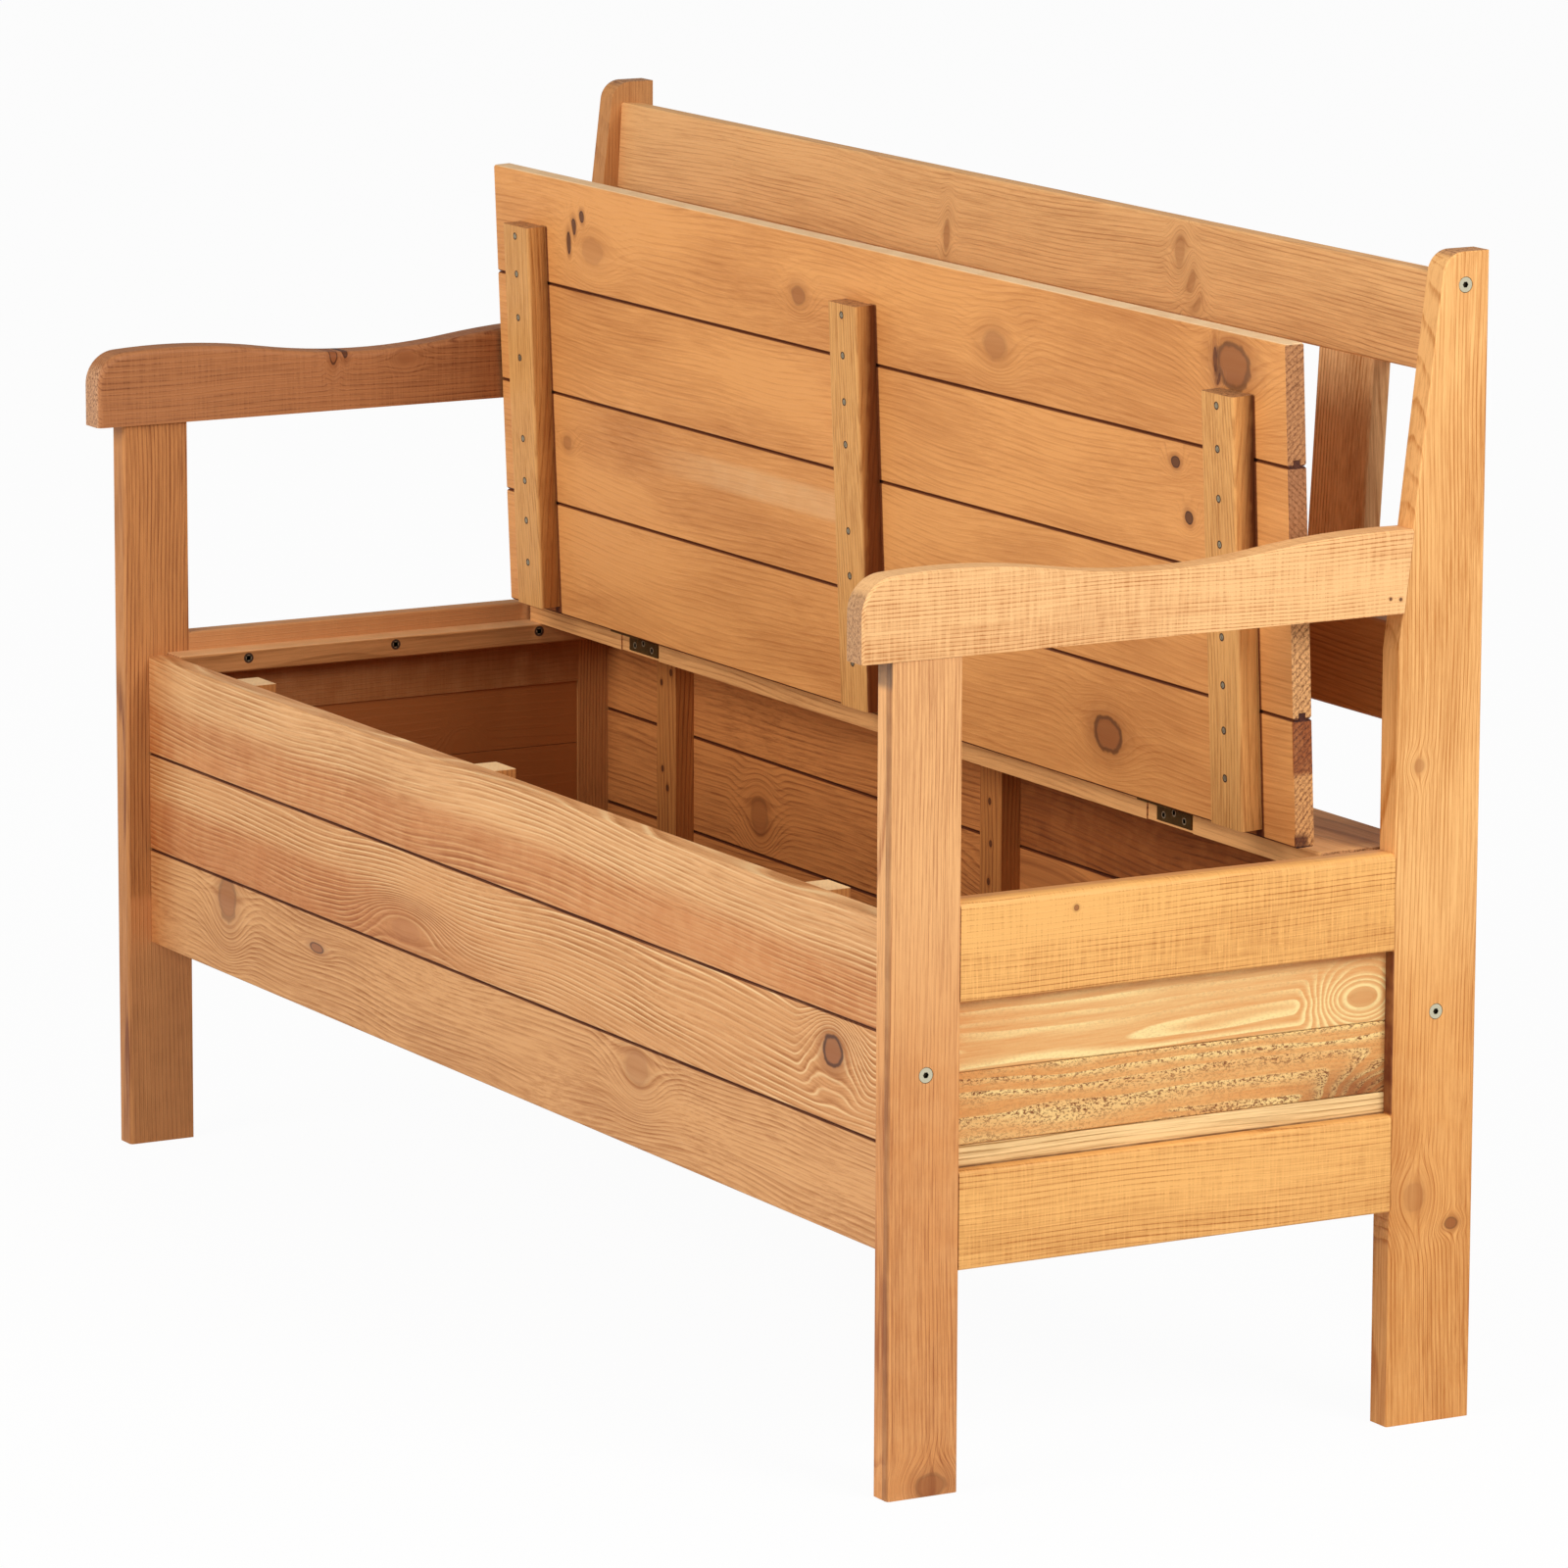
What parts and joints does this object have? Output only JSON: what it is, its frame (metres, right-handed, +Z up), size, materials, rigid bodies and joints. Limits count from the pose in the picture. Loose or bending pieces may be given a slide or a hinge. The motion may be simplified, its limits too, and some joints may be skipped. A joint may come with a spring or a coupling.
{
  "type": "garden storage bench",
  "caption": "Wooden garden bench with shaped armrests and a slatted back; its boarded seat is a lid hinged at the rear over a storage box between the legs.",
  "frame": {"origin": "centre of the bench's footprint, at floor level, with the lid standing open", "axes": "+X along the seat to the right as one faces the bench's front, +Y from front to back, +Z up"},
  "size_m": [1.332, 0.54, 0.9],
  "materials": {
    "stained_pine": "satin honey stain",
    "sawn_pine": "rough sawn",
    "zinc_plated_steel": "yellow zinc plate",
    "bronzed_steel": "dark bronze"
  },
  "bodies": {
    "bench": {"armrest_left": "stained_pine", "armrest_right": "stained_pine", "back_batten_left": "sawn_pine", "back_batten_middle": "sawn_pine", "back_batten_right": "sawn_pine", "back_board_bottom": "stained_pine", "back_board_middle": "stained_pine", "back_board_top": "stained_pine", "back_lower_rail": "stained_pine", "back_slat_1": "stained_pine", "back_slat_2": "stained_pine", "back_slat_3": "stained_pine", "back_slat_4": "stained_pine", "back_slat_5": "stained_pine", "back_slat_6": "stained_pine", "back_slat_7": "stained_pine", "back_top_rail": "stained_pine", "floor_board_1": "sawn_pine", "floor_board_2": "sawn_pine", "floor_board_3": "sawn_pine", "floor_board_4": "sawn_pine", "floor_cleats": "sawn_pine", "front_batten_left": "sawn_pine", "front_batten_middle": "sawn_pine", "front_batten_right": "sawn_pine", "front_board_bottom": "stained_pine", "front_board_middle": "stained_pine", "front_board_top": "stained_pine", "front_leg_left": "stained_pine", "front_leg_right": "stained_pine", "hinge_leaves_frame": "bronzed_steel", "hinge_pins": "bronzed_steel", "leg_bolts": "zinc_plated_steel", "lid_ledge_left": "stained_pine", "lid_ledge_right": "stained_pine", "rear_leg_left": "stained_pine", "rear_leg_right": "stained_pine", "rear_seat_board": "stained_pine", "side_bottom_rail_left": "stained_pine", "side_bottom_rail_right": "stained_pine", "side_panel_middle_left": "stained_pine", "side_panel_middle_right": "stained_pine", "side_panel_strip_left": "stained_pine", "side_panel_strip_right": "stained_pine", "side_panel_upper_left": "stained_pine", "side_panel_upper_right": "stained_pine", "side_top_rail_left": "stained_pine", "side_top_rail_right": "stained_pine"},
    "lid": {"lid_board_1": "stained_pine", "lid_board_2": "stained_pine", "lid_board_3": "stained_pine", "lid_board_4": "stained_pine", "lid_batten_left": "stained_pine", "lid_batten_middle": "stained_pine", "lid_batten_right": "stained_pine", "hinge_leaves_lid": "bronzed_steel"}
  },
  "joints": [
    {"name": "lid_hinge", "type": "hinge", "parent": "bench", "child": "lid", "pos_m": [0, 0.1427, 0.4487], "axis": [-1, 0, 0], "range_deg": [-87.6, 16.5]}
  ]
}
